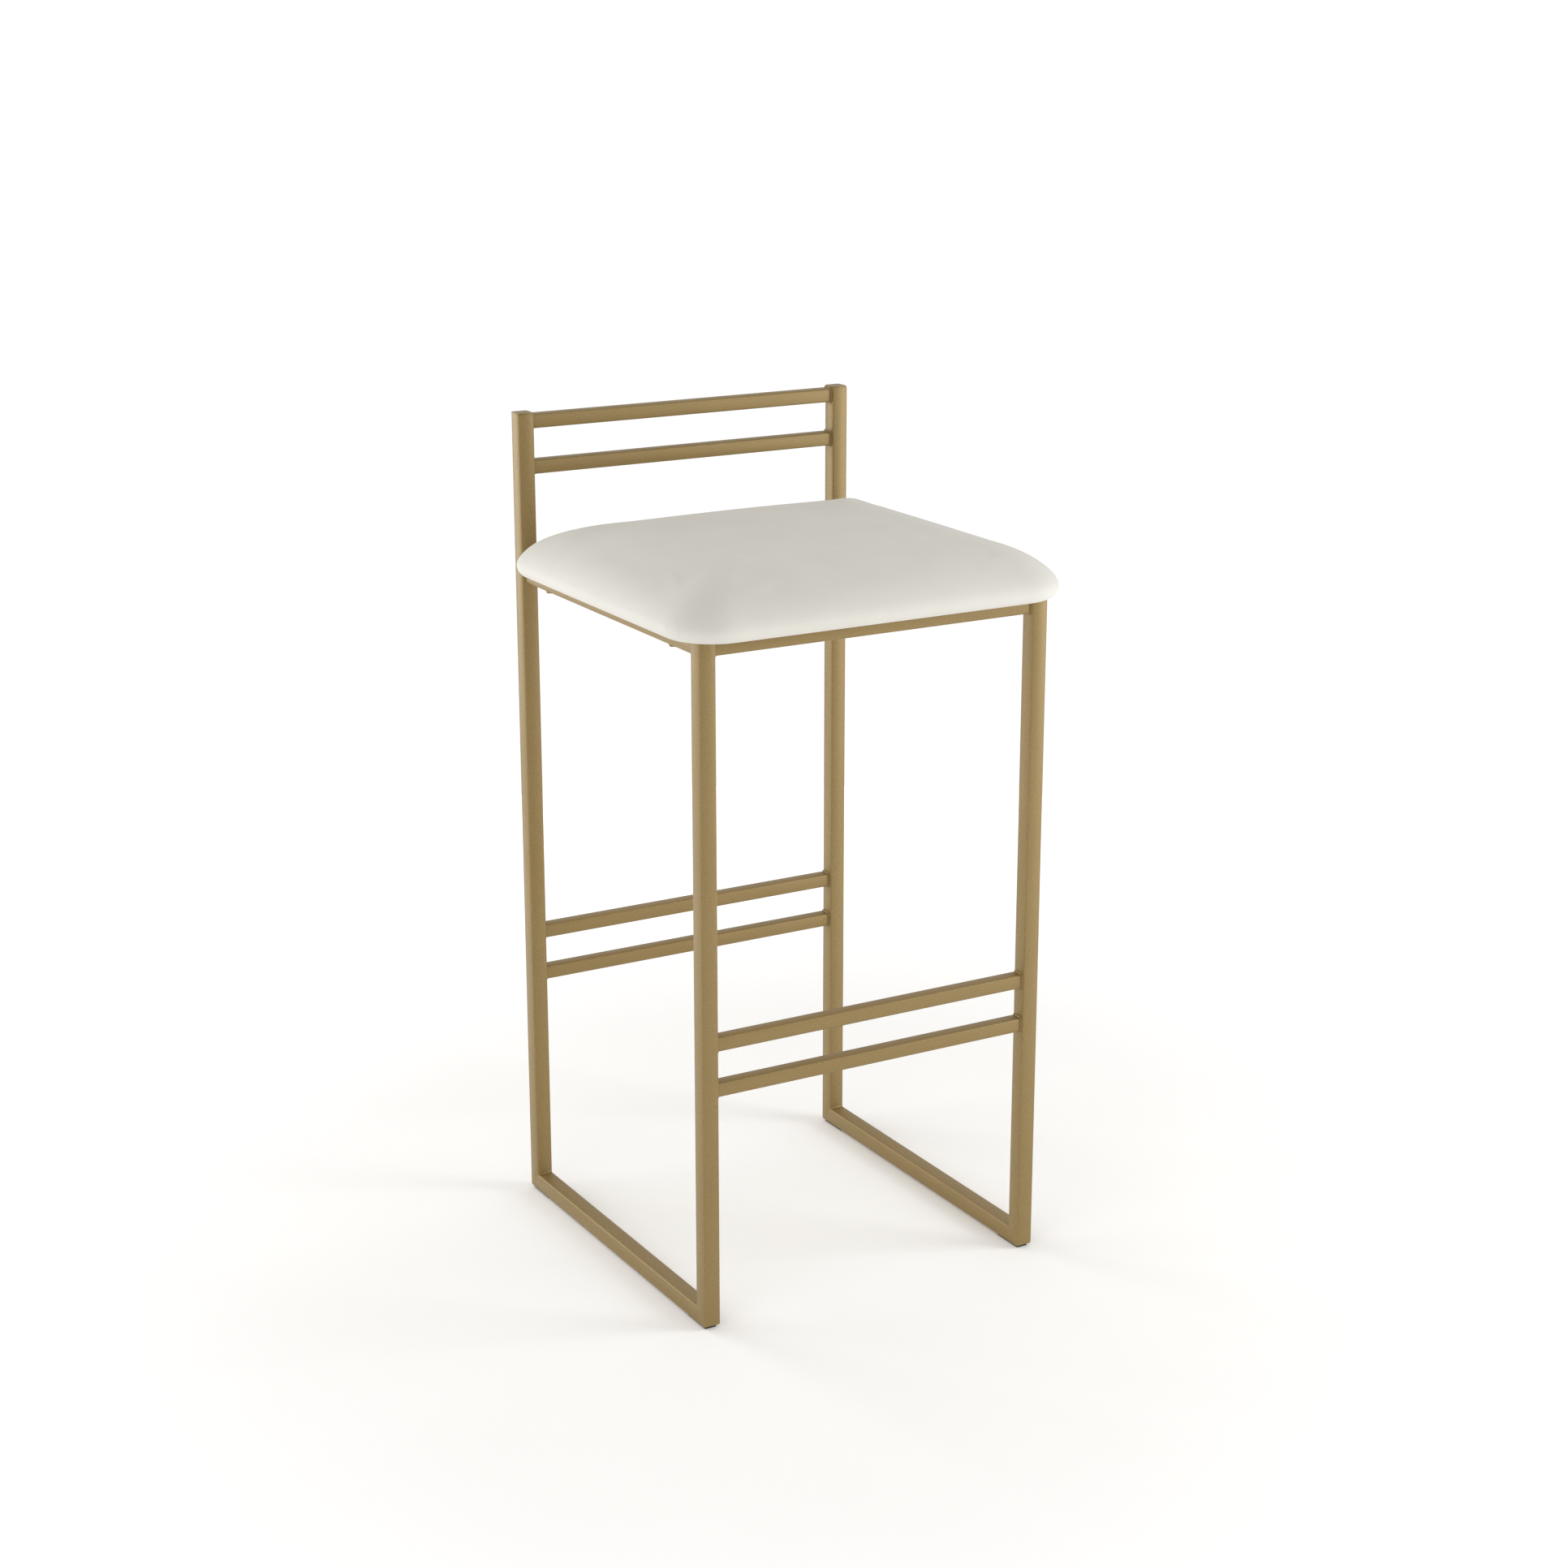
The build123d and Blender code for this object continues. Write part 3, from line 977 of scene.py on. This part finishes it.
    def tuck_under(self, piece: bpy.types.Object) -> None:
        """Lay the hem flat under the board and leave the board its pocket.

        Args:
            piece: The cushion.
        """
        for vertex in piece.data.vertices:
            spot = vertex.co
            if spot.z > self.low.z + self.underside:
                continue
            depth = self.depth_in(spot.x, spot.y)
            if depth > self.hem:
                spot.z = self.low.z + self.pocket + self.foam_gap
            elif depth > self.foot_round:
                spot.z = self.low.z + self.hem_lift


# ---------------------------------------------------------------- dressed nodes
@dataclass
class Fittings:
    """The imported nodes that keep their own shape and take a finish."""

    plastic: bpy.types.Material
    plywood: bpy.types.Material
    clear_zinc: bpy.types.Material
    yellow_zinc: bpy.types.Material

    def build(self) -> None:
        """Give each node its finish."""
        dress = {
            "seat_board": self.plywood,
            "seat_screws": self.yellow_zinc,
            "lock_washers": self.yellow_zinc,
            "tee_nuts": self.clear_zinc,
            "cover_staples": self.clear_zinc,
        }
        for side in Side:
            dress |= {f"{side.word}_{end}_glide": self.plastic for end in ("front", "rear")}
        for name, finish in dress.items():
            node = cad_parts[name]
            node.data.materials.clear()
            node.data.materials.append(finish)
            log.info("%s keeps its shape in %s", name, finish.name)


# ---------------------------------------------------------------- studio
@dataclass(frozen=True)
class SoftBox:
    """One soft lamp: its bearing from the stool, its place, its size and how bright it is."""

    name: str
    bearing_deg: float  # anticlockwise from +X
    distance: float
    middle: float  # height of its middle
    width: float
    height: float
    radiance: float
    aim: float  # height above the floor's middle that it looks at


@dataclass
class Studio:
    """A white floor, a soft bright room and the camera."""

    eye: tuple[float, float, float] = (-1.5376, -2.6722, 1.4254)
    heading_deg: float = 29.993  # from straight back towards the right
    dip_deg: float = 16.249
    lens: float = 66.305
    sensor: float = 36.0
    floor_radius: float = 1.8
    glow: tuple[float, float] = (0.08, 0.5)  # the floor's, under the stool and out at its rim
    glow_from: float = 0.6  # how far out the floor's glow begins to rise
    fill: float = 0.68
    backdrop: float = 1.05  # how bright the room is where the camera sees it
    warm: tuple[float, float, float, float] = (1.0, 0.985, 0.955, 1.0)  # colour of the fill
    cool: tuple[float, float, float] = (0.96, 0.98, 1.0)  # colour of the boxes
    boxes: tuple[SoftBox, ...] = (
        SoftBox("right_box", -37, 2.1, 1.05, 0.9, 1.8, 4.2, 1.0),
        SoftBox("back_box", 120, 2.1, 1.05, 0.9, 1.8, 2.4, 1.0),
        SoftBox("left_box", 150, 2.1, 1.05, 0.9, 1.8, 1.4, 1.0),
        SoftBox("front_box", -145, 2.6, 0.9, 1.2, 1.8, 0.7, 0.9),
        SoftBox("low_box", -155, 2.4, 0.35, 2.0, 0.6, 0.9, 0.7),
    )

    def build(self) -> None:
        """Make the floor, the room's light and the camera."""
        bpy.context.scene.view_settings.view_transform = "Standard"
        self.floor()
        self.room()
        self.lamps()
        self.camera()

    def floor(self) -> None:
        """Lay the round white floor, which glows a little so that it stays white."""
        mesh = bmesh.new()
        bmesh.ops.create_circle(mesh, cap_ends=True, segments=96, radius=self.floor_radius)
        piece = put_up("studio_floor", mesh)
        made, tree, out = new_material("white_studio_floor")
        place = add_node(tree, "ShaderNodeTexCoord").outputs["Object"]
        mottle = add_node(tree, "ShaderNodeTexNoise", {"Vector": place, "Scale": 3.0})
        length = add_node(tree, "ShaderNodeVectorMath", {0: place}, operation="LENGTH")
        away, (middle, rim) = length.outputs["Value"], self.glow
        glow = add_node(
            tree,
            "ShaderNodeMapRange",
            {0: away, 1: self.glow_from, 2: self.floor_radius, 3: middle, 4: rim},
            interpolation_type="SMOOTHSTEP",
        ).outputs[0]
        white = ramp(tree, mottle.outputs["Fac"], ((0.3, 0xFCFCFC), (0.7, 0xFEFEFE)))
        shader = add_node(
            tree,
            "ShaderNodeBsdfPrincipled",
            {
                "Base Color": white,
                "Roughness": 0.9,
                "Specular IOR Level": 0.0,
                "Emission Color": (1.0, 1.0, 1.0, 1.0),
                "Emission Strength": glow,
            },
        )
        tree.links.new(shader.outputs[0], out.inputs["Surface"])
        piece.data.materials.append(made)

    def room(self) -> None:
        """Fill the room with a soft even light, with a white backdrop behind the stool."""
        world = bpy.data.worlds.new("soft_room")
        bpy.context.scene.world = world
        world.use_nodes = True
        tree = world.node_tree
        tree.nodes.clear()
        white = (1.0, 1.0, 1.0, 1.0)
        fill = add_node(tree, "ShaderNodeBackground", {"Color": self.warm, "Strength": self.fill})
        backdrop = add_node(
            tree, "ShaderNodeBackground", {"Color": white, "Strength": self.backdrop}
        )
        seen = add_node(tree, "ShaderNodeLightPath").outputs["Is Camera Ray"]
        mixed = add_node(
            tree, "ShaderNodeMixShader", {0: seen, 1: fill.outputs[0], 2: backdrop.outputs[0]}
        )
        add_node(tree, "ShaderNodeOutputWorld", {"Surface": mixed.outputs[0]})

    def lamps(self) -> None:
        """Stand the soft boxes round the stool."""
        for lamp in self.boxes:
            data = bpy.data.lights.new(lamp.name, "AREA")
            data.shape = "RECTANGLE"
            data.size, data.size_y = lamp.width, lamp.height
            data.color = self.cool
            data.energy = lamp.radiance * math.pi * lamp.width * lamp.height
            placed = bpy.data.objects.new(lamp.name, data)
            turn = math.radians(lamp.bearing_deg)
            way = Vector((math.cos(turn), math.sin(turn), 0))
            placed.location = lamp.distance * way + Vector((0, 0, lamp.middle))
            placed.rotation_mode = "QUATERNION"
            aim = Vector((0, 0, lamp.aim)) - placed.location
            placed.rotation_quaternion = aim.to_track_quat("-Z", "Y")
            placed.visible_camera = False
            bpy.context.scene.collection.objects.link(placed)

    def camera(self) -> None:
        """Stand the camera."""
        data = bpy.data.cameras.new("studio_camera")
        data.lens = self.lens
        data.sensor_width = self.sensor
        camera = bpy.data.objects.new("studio_camera", data)
        heading, dip = math.radians(self.heading_deg), math.radians(self.dip_deg)
        look = Vector(
            (math.sin(heading) * math.cos(dip), math.cos(heading) * math.cos(dip), -math.sin(dip))
        )
        camera.location = self.eye
        camera.rotation_mode = "QUATERNION"
        camera.rotation_quaternion = look.to_track_quat("-Z", "Y")
        bpy.context.scene.collection.objects.link(camera)
        bpy.context.scene.camera = camera


def main() -> None:
    """Build the room, the frame, the seat and the fittings."""
    logging.basicConfig(level=logging.INFO, format="%(name)s: %(message)s")
    Studio().build()
    coat = PowderCoat().build()
    SteelFrame(coat).build()
    WeldBeads(coat).build()
    SeatCushion(SeatVinyl().build()).build()
    yellow = ZincPlate("yellow_zinc_plated_steel", bright=0xA58A58, dull=0x7F6A42)
    zincs = ZincPlate().build(), yellow.build()
    Fittings(GlidePlastic().build(), Plywood().build(), *zincs).build()


if __name__ == "__main__":
    main()
